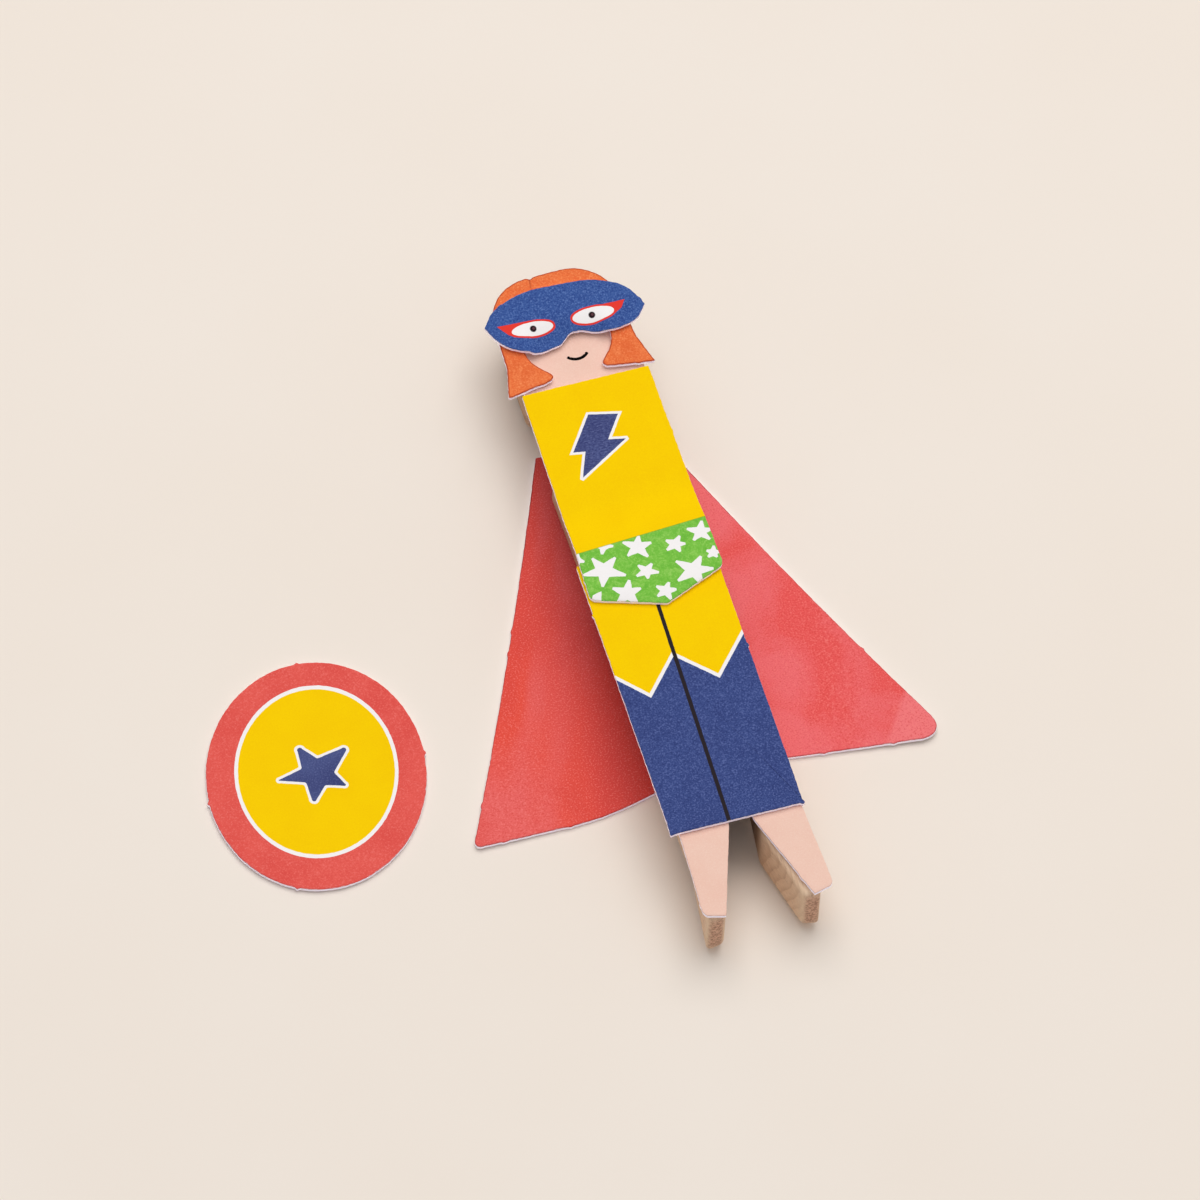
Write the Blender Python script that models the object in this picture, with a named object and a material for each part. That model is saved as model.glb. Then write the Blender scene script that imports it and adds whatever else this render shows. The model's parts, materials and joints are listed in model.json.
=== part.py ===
"""A flat wooden dolly peg dressed in printed card as a masked hero, lying on its back on its cape, with a loose
oval shield beside it. X runs to the doll's left hand, Y to the top of its head, Z from its back to its front."""

import math

import bmesh
import bpy
from mathutils import Vector

# The peg, in metres. Its outline is cut from a flat bar and its edges are rounded. The middle of its length lies a
# little above the origin.
PEG_LENGTH = 0.110
PEG_RISE = 0.0010
PEG_WIDTH = 0.0164
PEG_THICKNESS = 0.0090
PEG_EDGE_RADIUS = 0.0016
PRONGS_WIDTH = 0.0148
FEET_WIDTH = 0.0174
FOOT_WIDTH = 0.0027
FOOT_RADIUS = 0.0006
HEAD_WIDTH = 0.0162
HEAD_LENGTH = 0.0188
HEAD_CROWN_RADIUS = 0.0080
HEAD_JAW_RADIUS = 0.0052
NECK_WIDTH = 0.0098
NECK_LENGTH = 0.0109
NECK_FILLET = 0.0015
SHOULDER_RADIUS = 0.0030

# The slot between the prongs narrows to a throat above its flared mouth. The prongs are slimmest at the throat.
SLOT_DEPTH = 0.0610
SLOT_WIDTH = 0.0080
THROAT_WIDTH = 0.0062
THROAT_LENGTH = 0.0075
MOUTH_DEPTH = 0.0119
MOUTH_RADIUS = 0.0006
SLOT_EDGE_RADIUS = 0.0004

# Card, the room left between two layers, and the tape inside that room.
CARD = 0.0007
LAYER_GAP = 0.0003
TAPE = 0.00012
TAPE_WIDTH = 0.0090
TAPE_MARGIN = 0.0010

# The pink figure card stands proud of the peg, more at the sides than at the ends, and is stuck on off centre.
FIGURE_OVERHANG = 0.0012
FIGURE_END_OVERHANG = 0.0004
FIGURE_SHIFT = 0.0006
LEG_SPREAD = 0.0012
LEG_FOOT_WIDTH = 0.0032
LEG_CORNER = 0.0011
LEG_SLANT = 0.0008
LEG_FLARE = 0.0142
LEG_GAP_WIDTH = 0.0037
LEG_GAP_LENGTH = 0.0084

TROUSERS_OVERHANG = 0.0020
TROUSERS_LENGTH = 0.0472

# The torso card widens down to the waist and ends in briefs, which widen to the hips and run to a shallow point off
# centre. Their left hip is cut higher.
TORSO_OVERHANG = 0.00158
TORSO_WAIST = 0.0280
TORSO_SPREAD = 0.00064
TORSO_SHIFT = 0.00045
TORSO_TURN = -0.2
BRIEFS_SPREAD = 0.0005
BRIEFS_SIDE = 0.0085
BRIEFS_POINT = 0.0035
BRIEFS_POINT_X = 0.0005
BRIEFS_SLANT = 0.0005
HIP_RADIUS = 0.0012
POINT_RADIUS = 0.0010
COLLAR_GAP = 0.00015
WAIST_LAP = 0.0065
STEP_LENGTH = 0.0080
STEP_MARGIN = 0.0012

# The hair is a bob with two flared ends round an open face.
HAIR_RISE = 0.00075
HAIR_OVERHANG = 0.0013
HAIR_CROWN_RADIUS = 0.0080
HAIR_CHEEK = 0.0138
HAIR_CHEEK_SPREAD = 0.0006
HAIR_FLARE = 0.0052
HAIR_FLARE_SPREAD = 0.0020
HAIR_CURVE_RADIUS = 0.0050
HAIR_TIP_GAP = 0.0064
HAIR_TIP_LIFT = 0.0015
HAIR_TIP_RADIUS = 0.0007
HAIR_END_RADIUS = 0.00015
HAIR_SHIFT = -0.0003
HAIR_TURN = 1.0
FACE_WIDTH = 0.0132
FRINGE = 0.0068
FRINGE_RADIUS = 0.0032

# The mask has pointed ends, one lower than the other, and a nose notch between two lobes, one deeper and longer than
# the other. Heights run from its right end.
MASK_WIDTH = 0.0242
MASK_CROWN = 0.0050
MASK_CROWN_WIDTH = 0.0104
MASK_TEMPLE = 0.0028
MASK_TEMPLE_WIDTH = 0.0204
MASK_LEFT_DROP = 0.0011
MASK_CHEEK = 0.0034
MASK_CHEEK_WIDTH = 0.0208
MASK_LOBE_WIDTH = 0.0122
MASK_LEFT_LOBE = 0.0045
MASK_RIGHT_LOBE = 0.0057
MASK_LOBE_END = 0.0047
MASK_LOBE_END_X = -0.0016
MASK_NOSE = 0.0030
MASK_NOSE_WIDTH = 0.0018
MASK_NOSE_X = 0.0011
MASK_CURVE_RADIUS = 0.0120
MASK_TIP_RADIUS = 0.0003
MASK_LAP = 0.0040
MASK_SHIFT = 0.0006
MASK_TURN = -3.0

# The cape is stuck on by its top end, which reaches above the shoulders, and folds below the stuck strip. Its hem
# rises to the middle, evenly on the left and from a bend on the right.
CAPE_RISE = 0.0067
CAPE_GLUE = 0.0063
CAPE_TOP_WIDTH = 0.0180
CAPE_WIDTH = 0.0734
CAPE_LENGTH = 0.0615
CAPE_SIDE_BOW = 0.0006
CAPE_HEM_RISE = 0.0043
CAPE_HEM_BEND_X = -0.0170
CAPE_HEM_RADIUS = 0.0400
CAPE_LEFT_CORNER = 0.0026
CAPE_RIGHT_CORNER = 0.0009
CAPE_FOLD_GAP = 0.0003
CAPE_SHIFT = 0.0007
CAPE_TURN = -0.65

SHIELD_LENGTH = 0.0385
SHIELD_WIDTH = 0.0325
SHIELD_APART = 0.0026
SHIELD_Y = -0.0099
SHIELD_TURN = -18.2
SHIELD_SIDES = 72

# How finely curves are cut, and how much of a side or a corner an arc may take.
ARC_STEP = 12.0
EDGE_STEPS = 4
CURVE_STEPS = 10
CORNER_SHARE = 0.49
EDGE_SHARE = 0.8
SHARP = 1e-6

PEG_TOP = PEG_RISE + PEG_LENGTH / 2
PEG_FOOT = PEG_RISE - PEG_LENGTH / 2
SHOULDER_Y = PEG_TOP - HEAD_LENGTH - NECK_LENGTH
SLOT_TOP = PEG_FOOT + SLOT_DEPTH
THROAT_Y = PEG_FOOT + MOUTH_DEPTH
HAIR_TOP = PEG_TOP + HAIR_RISE
FRINGE_Y = HAIR_TOP - FRINGE
MASK_Y = FRINGE_Y + MASK_LAP - MASK_CROWN
TORSO_TOP = HAIR_TOP - HAIR_CHEEK - HAIR_FLARE - COLLAR_GAP
HIP_Y = TORSO_TOP - TORSO_WAIST - BRIEFS_SIDE
TROUSERS_TOP = HIP_Y + WAIST_LAP
STEP_FOOT = TROUSERS_TOP + STEP_MARGIN
FOLD_Y = SHOULDER_Y - CAPE_GLUE

LAYER = CARD + LAYER_GAP
PEG_BACK = LAYER
FIGURE_Z = PEG_BACK + PEG_THICKNESS + LAYER_GAP
FIRST_Z = FIGURE_Z + LAYER
SECOND_Z = FIRST_Z + LAYER


def rounded(corners):
    """Closed clockwise outline with an arc at each corner (x, y, radius) or (x, y, radius, edge radius). A radius
    that its sides have no room for is cut to fit, and so is an edge radius that the arc has no room for."""
    outline = []
    for i, (x, y, radius, *edge) in enumerate(corners):
        here = Vector((x, y))
        back = Vector(corners[i - 1][:2]) - here
        ahead = Vector(corners[(i + 1) % len(corners)][:2]) - here
        bend = math.pi - back.angle(ahead)
        reach = min(radius * math.tan(bend / 2), CORNER_SHARE * back.length, CORNER_SHARE * ahead.length)
        if reach < SHARP:
            outline.append((x, y, *edge))
            continue
        start = here + back.normalized() * reach
        middle = (back.normalized() + ahead.normalized()).normalized()
        centre = here + middle * reach / math.sin(bend / 2)
        spoke = start - centre
        outer = back.cross(ahead) > 0
        if outer:
            edge = [min(size, EDGE_SHARE * spoke.length) for size in edge]
        steps = max(2, round(math.degrees(bend) / ARC_STEP))
        for k in range(steps + 1):
            angle = bend * k / steps * (-1 if outer else 1)
            turned = Vector((spoke.x * math.cos(angle) - spoke.y * math.sin(angle),
                             spoke.x * math.sin(angle) + spoke.y * math.cos(angle)))
            outline.append((*(centre + turned), *edge))
    return outline


def mirrored(right):
    """Closed run of corners from its right half, listed from the top down."""
    return right + [(-x, *rest) for x, *rest in reversed(right)]


def painted(name, colour, roughness):
    material = bpy.data.materials.new(name)
    material.use_nodes = True
    shader = material.node_tree.nodes["Principled BSDF"]
    shader.inputs["Base Color"].default_value = (*colour, 1.0)
    shader.inputs["Roughness"].default_value = roughness
    shader.inputs["Metallic"].default_value = 0.0
    return material


def placed(name, mesh, colour, roughness, place, turn=0.0):
    obj = bpy.data.objects.new(name, mesh)
    mesh.materials.append(painted(name, colour, roughness))
    obj.location = place
    obj.rotation_euler.z = math.radians(turn)
    obj.parent = doll
    bpy.context.scene.collection.objects.link(obj)


def finished(bm, name):
    bmesh.ops.recalc_face_normals(bm, faces=bm.faces)
    mesh = bpy.data.meshes.new(name)
    bm.to_mesh(mesh)
    bm.free()
    return mesh


def sheet(name, outline, thickness, ramp=None):
    """Sheet of this outline with its underside at zero. A ramp (low, high, lift) raises what lies below low by
    lift, and brings it down evenly from there to high."""
    bm = bmesh.new()
    bm.faces.new([bm.verts.new((x, y, 0)) for x, y, *_ in outline])
    if ramp:
        low, high, lift = ramp
        for y in (low, high):
            parts = bm.verts[:] + bm.edges[:] + bm.faces[:]
            bmesh.ops.bisect_plane(bm, geom=parts, plane_co=(0, y, 0), plane_no=(0, 1, 0))
        for vert in bm.verts:
            vert.co.z += lift * min(max((high - vert.co.y) / (high - low), 0), 1)
    raised = bmesh.ops.extrude_face_region(bm, geom=bm.faces[:])["geom"]
    tops = [item for item in raised if isinstance(item, bmesh.types.BMVert)]
    bmesh.ops.translate(bm, verts=tops, vec=(0, 0, thickness))
    return finished(bm, name)


def inward(outline, i):
    """Mitred normal at point i of a clockwise outline, pointing into the shape."""
    before, here, after = (Vector(outline[(i + k) % len(outline)][:2]) for k in (-1, 0, 1))
    first = (here - before).normalized()
    second = (after - here).normalized()
    first = Vector((first.y, -first.x))
    second = Vector((second.y, -second.x))
    return (first + second) / (1 + first.dot(second))


def rounded_bar(name, outline, thickness):
    """Bar between zero and thickness, whose rims are quarter rounds of each outline point's own edge radius."""
    bm = bmesh.new()
    normals = [inward(outline, i) for i in range(len(outline))]
    turns = [math.pi / 2 * k / EDGE_STEPS for k in range(EDGE_STEPS + 1)]
    rings = []
    for low, angle in [(True, turn) for turn in reversed(turns)] + [(False, turn) for turn in turns]:
        ring = []
        for (x, y, edge), normal in zip(outline, normals):
            point = Vector((x, y)) + normal * edge * (1 - math.cos(angle))
            height = edge * (1 - math.sin(angle))
            ring.append(bm.verts.new((*point, height if low else thickness - height)))
        rings.append(ring)
    for lower, upper in zip(rings, rings[1:]):
        for i in range(len(outline)):
            bm.faces.new((lower[i - 1], lower[i], upper[i], upper[i - 1]))
    bm.faces.new(rings[0])
    bm.faces.new(rings[-1])
    mesh = finished(bm, name)
    mesh.shade_smooth()
    mesh.set_sharp_from_angle(angle=math.radians(30))
    return mesh


def body_corners(side, end):
    """Right half of the head, neck and shoulders, down to the side of the body, this far outside the wood at the
    sides and at the ends."""
    jaw = PEG_TOP - HEAD_LENGTH - end
    head = HEAD_WIDTH / 2 + side
    neck = NECK_WIDTH / 2 + side
    return [
        (head, PEG_TOP + end, HEAD_CROWN_RADIUS + end),
        (head, jaw, HEAD_JAW_RADIUS + end),
        (neck, jaw, NECK_FILLET),
        (neck, SHOULDER_Y + end, NECK_FILLET),
        (PEG_WIDTH / 2 + side, SHOULDER_Y + end, SHOULDER_RADIUS + end),
    ]


def peg():
    feet = FEET_WIDTH / 2
    outer = body_corners(0.0, 0.0) + [(PRONGS_WIDTH / 2, THROAT_Y, MOUTH_DEPTH), (feet, PEG_FOOT, FOOT_RADIUS)]
    slot = [
        (feet - FOOT_WIDTH, PEG_FOOT, MOUTH_RADIUS),
        (THROAT_WIDTH / 2, THROAT_Y, THROAT_WIDTH / 2),
        (SLOT_WIDTH / 2, THROAT_Y + THROAT_LENGTH, THROAT_LENGTH),
        (SLOT_WIDTH / 2, SLOT_TOP, SLOT_WIDTH / 2),
    ]
    right = [(*corner, PEG_EDGE_RADIUS) for corner in outer] + [(*corner, SLOT_EDGE_RADIUS) for corner in slot]
    mesh = rounded_bar("peg", rounded(mirrored(right)), PEG_THICKNESS)
    placed("peg", mesh, (0.46, 0.29, 0.16), 0.65, (0, 0, PEG_BACK))


def figure_card():
    """Pink card in the outline of the peg, with two legs that spread below the trousers."""
    side = PEG_WIDTH / 2 + FIGURE_OVERHANG
    feet = side + LEG_SPREAD / 2
    hem = PEG_FOOT + LEG_FLARE
    foot = PEG_FOOT - FIGURE_END_OVERHANG
    legs = [
        (side, hem, 0.0),
        (feet, foot + LEG_SLANT, LEG_CORNER),
        (feet - LEG_FOOT_WIDTH, foot, 0.0),
        (LEG_GAP_WIDTH / 2, hem, 0.0),
        (LEG_GAP_WIDTH / 2, hem + LEG_GAP_LENGTH, LEG_GAP_WIDTH / 2),
    ]
    body = body_corners(FIGURE_OVERHANG, FIGURE_END_OVERHANG)
    mesh = sheet("figure_card", rounded(mirrored(body + legs)), CARD)
    placed("figure_card", mesh, (0.85, 0.57, 0.47), 0.7, (FIGURE_SHIFT, 0, FIGURE_Z))


def trousers_card():
    half = PEG_WIDTH / 2 + TROUSERS_OVERHANG
    mesh = sheet("trousers_card", mirrored([(half, 0), (half, -TROUSERS_LENGTH)]), CARD)
    placed("trousers_card", mesh, (0.05, 0.08, 0.27), 0.6, (0, TROUSERS_TOP, FIRST_Z))


def torso_card():
    """It lies on the trousers below, and steps down one layer to the figure card above them."""
    half = PEG_WIDTH / 2 + TORSO_OVERHANG
    waist = half + TORSO_SPREAD / 2
    hip = HIP_Y - TORSO_TOP
    hip_side = waist + BRIEFS_SPREAD / 2
    outline = [
        (half, 0, 0.0),
        (waist, -TORSO_WAIST, 0.0),
        (hip_side, hip + BRIEFS_SLANT, HIP_RADIUS),
        (BRIEFS_POINT_X, hip - BRIEFS_POINT, POINT_RADIUS),
        (-hip_side, hip, HIP_RADIUS),
        (-waist, -TORSO_WAIST, 0.0),
        (-half, 0, 0.0),
    ]
    ramp = (STEP_FOOT - TORSO_TOP, STEP_FOOT + STEP_LENGTH - TORSO_TOP, LAYER)
    mesh = sheet("torso_card", rounded(outline), CARD, ramp=ramp)
    placed("torso_card", mesh, (0.94, 0.62, 0.0), 0.6, (TORSO_SHIFT, TORSO_TOP, FIRST_Z), TORSO_TURN)


def hair_card():
    """Its crown is at the origin."""
    half = HEAD_WIDTH / 2 + HAIR_OVERHANG
    end = HAIR_CHEEK + HAIR_FLARE
    right = [
        (half, 0, HAIR_CROWN_RADIUS),
        (half + HAIR_CHEEK_SPREAD, -HAIR_CHEEK, HAIR_CURVE_RADIUS),
        (half + HAIR_FLARE_SPREAD, -end, HAIR_END_RADIUS),
        (HAIR_TIP_GAP / 2, HAIR_TIP_LIFT - end, HAIR_TIP_RADIUS),
        (FACE_WIDTH / 2, -HAIR_CHEEK, HAIR_CURVE_RADIUS),
        (FACE_WIDTH / 2, -FRINGE, FRINGE_RADIUS),
    ]
    mesh = sheet("hair_card", rounded(mirrored(right)), CARD)
    placed("hair_card", mesh, (0.80, 0.15, 0.03), 0.7, (HAIR_SHIFT, HAIR_TOP, FIRST_Z), HAIR_TURN)


def mask_half(side, drop, lobe):
    """Corners of one half, from the crown down to the lobe, to the right with side 1 and to the left with -1."""
    return [
        (side * MASK_CROWN_WIDTH / 2, MASK_CROWN, MASK_CURVE_RADIUS),
        (side * MASK_TEMPLE_WIDTH / 2, MASK_TEMPLE, MASK_CURVE_RADIUS),
        (side * MASK_WIDTH / 2, -drop, MASK_TIP_RADIUS),
        (side * MASK_CHEEK_WIDTH / 2, -MASK_CHEEK, MASK_CURVE_RADIUS),
        (side * MASK_LOBE_WIDTH / 2, -lobe, MASK_CURVE_RADIUS),
    ]


def mask_card():
    left = mask_half(1, MASK_LEFT_DROP, MASK_LEFT_LOBE)
    nose = [
        (MASK_NOSE_X + MASK_NOSE_WIDTH / 2, -MASK_NOSE, MASK_NOSE_WIDTH),
        (MASK_NOSE_X - MASK_NOSE_WIDTH / 2, -MASK_NOSE, MASK_NOSE_WIDTH),
        (MASK_LOBE_END_X, -MASK_LOBE_END, MASK_NOSE_WIDTH),
    ]
    right = mask_half(-1, 0.0, MASK_RIGHT_LOBE)[::-1]
    mesh = sheet("mask_card", rounded(left + nose + right), CARD)
    placed("mask_card", mesh, (0.03, 0.07, 0.28), 0.6, (MASK_SHIFT, MASK_Y, SECOND_Z), MASK_TURN)


def cape_side(drop):
    """Half width of the cape this far under its top edge, on a side that bows in."""
    share = drop / CAPE_LENGTH
    straight = CAPE_TOP_WIDTH / 2 + (CAPE_WIDTH - CAPE_TOP_WIDTH) / 2 * share
    return straight - CAPE_SIDE_BOW * 4 * share * (1 - share)


def cape_edge(side, first, last):
    """Corners down one side of the cape, to the right with side 1 and to the left with -1, between these two drops
    under its top edge."""
    drops = [first + (last - first) * k / CURVE_STEPS for k in range(CURVE_STEPS + 1)]
    return [(side * cape_side(drop), CAPE_RISE + CAPE_GLUE - drop, 0.0) for drop in drops]


def cape():
    """One card in two nodes, which meet at the fold. Both have their origin there, on the card's underside."""
    fold = CAPE_RISE + CAPE_GLUE
    place = (CAPE_SHIFT, FOLD_Y, 0)
    red = (0.72, 0.08, 0.09)
    glued = fold - CAPE_FOLD_GAP / 2
    yoke = sheet("cape_yoke", cape_edge(1, 0.0, glued) + cape_edge(-1, 0.0, glued)[::-1], CARD)
    placed("cape_yoke", yoke, red, 0.6, place, CAPE_TURN)

    free = fold + CAPE_FOLD_GAP / 2
    left = cape_edge(1, free, CAPE_LENGTH)
    right = cape_edge(-1, free, CAPE_LENGTH)
    left_x, hem_y, _ = left.pop()
    right.pop()
    hem = [
        (left_x, hem_y, CAPE_LEFT_CORNER),
        (0.0, hem_y + CAPE_HEM_RISE, 0.0),
        (CAPE_HEM_BEND_X, hem_y, CAPE_HEM_RADIUS),
        (-left_x, hem_y, CAPE_RIGHT_CORNER),
    ]
    panel = sheet("cape", rounded(left + hem + right[::-1]), CARD)
    placed("cape", panel, red, 0.6, place, CAPE_TURN)


def shield():
    """It lies flat on the table, clear of the cape's wing."""
    turns = [-2 * math.pi * k / SHIELD_SIDES for k in range(SHIELD_SIDES)]
    outline = [(SHIELD_WIDTH / 2 * math.cos(turn), SHIELD_LENGTH / 2 * math.sin(turn)) for turn in turns]
    lean = math.radians(SHIELD_TURN)
    reach = math.hypot(SHIELD_WIDTH / 2 * math.cos(lean), SHIELD_LENGTH / 2 * math.sin(lean))
    x = CAPE_SHIFT - CAPE_WIDTH / 2 - SHIELD_APART - reach
    placed("shield", sheet("shield", outline, CARD), (0.78, 0.11, 0.09), 0.6, (x, SHIELD_Y, 0), SHIELD_TURN)


def tape(name, left, right, low, high, layer_z):
    """Strip of double-sided tape in the middle of the gap under the layer that starts at layer_z."""
    outline = [(left, high), (right, high), (right, low), (left, low)]
    place = (0, 0, layer_z - (LAYER_GAP + TAPE) / 2)
    placed(name, sheet(name, outline, TAPE), (0.80, 0.76, 0.66), 0.5, place)


def tapes():
    half = TAPE_WIDTH / 2
    strips = [
        ("head_tape", PEG_TOP - HEAD_LENGTH, PEG_TOP - HEAD_CROWN_RADIUS, FIGURE_Z),
        ("body_tape", SLOT_TOP, SHOULDER_Y, FIGURE_Z),
        ("trousers_tape", PEG_FOOT + LEG_FLARE + LEG_GAP_LENGTH, TROUSERS_TOP, FIRST_Z),
        ("chest_tape", STEP_FOOT + STEP_LENGTH, TORSO_TOP, FIRST_Z),
        ("hair_tape", FRINGE_Y, PEG_TOP, FIRST_Z),
        ("waist_tape", HIP_Y, TROUSERS_TOP, SECOND_Z),
        ("mask_tape", FRINGE_Y, FRINGE_Y + MASK_LAP, SECOND_Z),
        ("cape_tape", FOLD_Y, SHOULDER_Y, PEG_BACK),
    ]
    for name, low, high, layer_z in strips:
        tape(name, -half, half, low + TAPE_MARGIN, high - TAPE_MARGIN, layer_z)
    inner = SLOT_WIDTH / 2 + SLOT_EDGE_RADIUS
    outer = PRONGS_WIDTH / 2 - PEG_EDGE_RADIUS
    low = THROAT_Y + TAPE_MARGIN
    high = SLOT_TOP - SLOT_WIDTH
    tape("left_prong_tape", inner, outer, low, high, FIGURE_Z)
    tape("right_prong_tape", -outer, -inner, low, high, FIGURE_Z)


for old in list(bpy.data.objects):
    bpy.data.objects.remove(old)
doll = bpy.data.objects.new("peg_doll", None)
bpy.context.scene.collection.objects.link(doll)
peg()
figure_card()
trousers_card()
torso_card()
hair_card()
mask_card()
cape()
shield()
tapes()
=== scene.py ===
import json
import math
from functools import reduce
import bpy
import numpy as np
from mathutils import Matrix, Vector

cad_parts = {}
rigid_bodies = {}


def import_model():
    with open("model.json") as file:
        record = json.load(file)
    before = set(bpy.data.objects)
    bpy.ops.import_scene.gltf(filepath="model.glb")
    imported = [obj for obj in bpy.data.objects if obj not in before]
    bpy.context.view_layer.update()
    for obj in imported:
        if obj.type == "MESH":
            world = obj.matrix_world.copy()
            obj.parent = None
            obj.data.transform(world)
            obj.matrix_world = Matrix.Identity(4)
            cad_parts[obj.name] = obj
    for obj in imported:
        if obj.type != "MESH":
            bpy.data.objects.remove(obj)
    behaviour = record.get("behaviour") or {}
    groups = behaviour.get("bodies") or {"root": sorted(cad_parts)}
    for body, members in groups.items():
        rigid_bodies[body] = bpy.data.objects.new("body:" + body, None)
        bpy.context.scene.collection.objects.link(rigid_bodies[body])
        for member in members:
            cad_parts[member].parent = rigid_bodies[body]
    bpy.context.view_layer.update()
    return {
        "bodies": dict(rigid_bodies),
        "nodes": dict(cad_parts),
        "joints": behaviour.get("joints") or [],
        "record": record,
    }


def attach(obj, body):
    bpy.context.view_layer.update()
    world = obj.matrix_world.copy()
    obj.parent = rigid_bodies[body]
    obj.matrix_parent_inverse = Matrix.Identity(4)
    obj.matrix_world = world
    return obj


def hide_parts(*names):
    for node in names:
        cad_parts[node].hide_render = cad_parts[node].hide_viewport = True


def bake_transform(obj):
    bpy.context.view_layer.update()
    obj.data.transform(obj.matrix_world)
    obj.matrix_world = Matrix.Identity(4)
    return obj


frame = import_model()
mm = 0.001  # every length below is in millimetres unless it says otherwise
print("frame loaded:", len(frame["nodes"]), "nodes")


# shader maths

class Ink:
    # one value, vector or colour inside a material; the operators add Math nodes to it
    def __init__(self, tree, socket=None):
        self.tree, self.socket = tree, socket

    def node(self, kind, settings=None, sockets=None, out=0):
        made = self.tree.nodes.new(kind)
        for name, value in (settings or {}).items():
            setattr(made, name, value)
        for name, value in (sockets or {}).items():
            if isinstance(value, Ink):
                self.tree.links.new(made.inputs[name], value.socket)
            else:
                made.inputs[name].default_value = value
        return Ink(self.tree, made.outputs[out])

    def other(self, out):
        return Ink(self.tree, self.socket.node.outputs[out])

    def maths(self, operation, *values, clamp=False):
        settings = {"operation": operation, "use_clamp": clamp}
        return self.node("ShaderNodeMath", settings, dict(enumerate((self, *values))))

    def __add__(self, value):
        return self.maths("ADD", value)

    def __sub__(self, value):
        return self.maths("SUBTRACT", value)

    def __rsub__(self, value):
        return self.maths("MULTIPLY_ADD", -1.0, value)

    def __mul__(self, value):
        return self.maths("MULTIPLY", value)

    def __truediv__(self, value):
        return self.maths("DIVIDE", value)

    def __abs__(self):
        return self.maths("ABSOLUTE")

    __radd__ = __add__
    __rmul__ = __mul__

    def inside(self, soft=0.05):
        # 1 where a signed distance is below zero, 0 above, with an edge this soft
        return self.maths("MULTIPLY_ADD", -1.0 / soft, 0.5, clamp=True)

    def between(self, low, high):
        # 0 below low, 1 above high
        return self.maths("MULTIPLY_ADD", 1.0 / (high - low), -low / (high - low), clamp=True)

    def mix(self, first, second):
        # the first colour where this value is 0, the second where it is 1
        return self.node("ShaderNodeMix", {"data_type": "RGBA"}, {0: self, 6: first, 7: second}, 2)

    def over(self, mask, colour):
        # this colour, with another laid over it where the mask is 1
        return mask.mix(self, colour)

    def noise(self, scale, detail=2.0, stretch=None, twist=0.0):
        place = self
        if stretch:
            place = self.node("ShaderNodeVectorMath", {"operation": "MULTIPLY"}, {0: self, 1: stretch})
        return self.node("ShaderNodeTexNoise", None, {
            "Vector": place, "Scale": scale, "Detail": detail, "Distortion": twist})

    def hypot(self, value):
        return (self * self + value * value).maths("SQRT")

    def bump(self, strength, deep):
        # a normal from this value as a height
        return self.node("ShaderNodeBump", None, {"Strength": strength, "Distance": deep * mm, "Height": self})

    def split(self):
        parts = self.node("ShaderNodeSeparateXYZ", None, {0: self})
        return parts, parts.other(1), parts.other(2)


def rgb(red, green, blue):
    # a colour as read off the screen, turned into Blender's linear values
    share = np.array([red, green, blue]) / 255
    return (*np.where(share > 0.04045, ((share + 0.055) / 1.055) ** 2.4, share / 12.92), 1.0)


def newMaterial(name):
    material = bpy.data.materials.new(name)
    material.use_nodes = True
    shader = material.node_tree.nodes["Principled BSDF"]
    return material, shader, Ink(material.node_tree)


def placeOn(ink, centre=(0.0, 0.0), turn=0.0):
    # object coordinates in millimetres, from a centre and turned by some degrees
    spot = ink.node("ShaderNodeTexCoord", out=3)
    return ink.node("ShaderNodeMapping", {"vector_type": "TEXTURE"}, {
        "Vector": spot, "Location": (centre[0] * mm, centre[1] * mm, 0.0),
        "Rotation": (0.0, 0.0, math.radians(turn)), "Scale": (mm, mm, mm)})


def edgeOf(ink):
    # distance from the cut edge in millimetres, kept on the cards' points
    return ink.node("ShaderNodeAttribute", {"attribute_name": "edge"}, out=2)


def wire(shader, **sockets):
    for name, value in sockets.items():
        socket = shader.inputs[name.replace("_", " ")]
        if isinstance(value, Ink):
            value.tree.links.new(socket, value.socket)
        else:
            socket.default_value = value


# printed shapes, as signed distances in millimetres

def merged(operation, shapes, *soft):
    # MINIMUM joins the shapes, MAXIMUM keeps what they share
    return reduce(lambda first, second: first.maths(operation, second, *soft), shapes)


def flatSpot(place):
    # (x, y, 1), so that one dot product gives the distance to a line
    x, y, _ = place.split()
    return place.node("ShaderNodeCombineXYZ", None, {0: x, 1: y, 2: 1.0})


def convexShape(spot, corners, sharp=62.0):
    # largest of the distances to the sides of a clockwise polygon; a corner sharper than this is blunted
    corners = np.array(corners, float)
    ahead = np.roll(corners, -1, axis=0) - corners
    ahead /= np.linalg.norm(ahead, axis=1)[:, None]
    sides = np.stack([-ahead[:, 1], ahead[:, 0]], axis=1)
    back = np.roll(sides, 1, axis=0)
    blunt = sides + back
    blunt /= np.linalg.norm(blunt, axis=1)[:, None]
    narrow = np.degrees(np.pi - np.arccos(np.clip((sides * back).sum(1), -1, 1))) < sharp
    normals = np.concatenate([sides, blunt[narrow]])
    anchors = np.concatenate([corners, corners[narrow]])
    planes = np.column_stack([normals, -(normals * anchors).sum(1)]).tolist()
    return merged("MAXIMUM", [spot.node("ShaderNodeVectorMath", {"operation": "DOT_PRODUCT"}, {0: spot, 1: plane}, 1)
                              for plane in planes])


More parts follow.
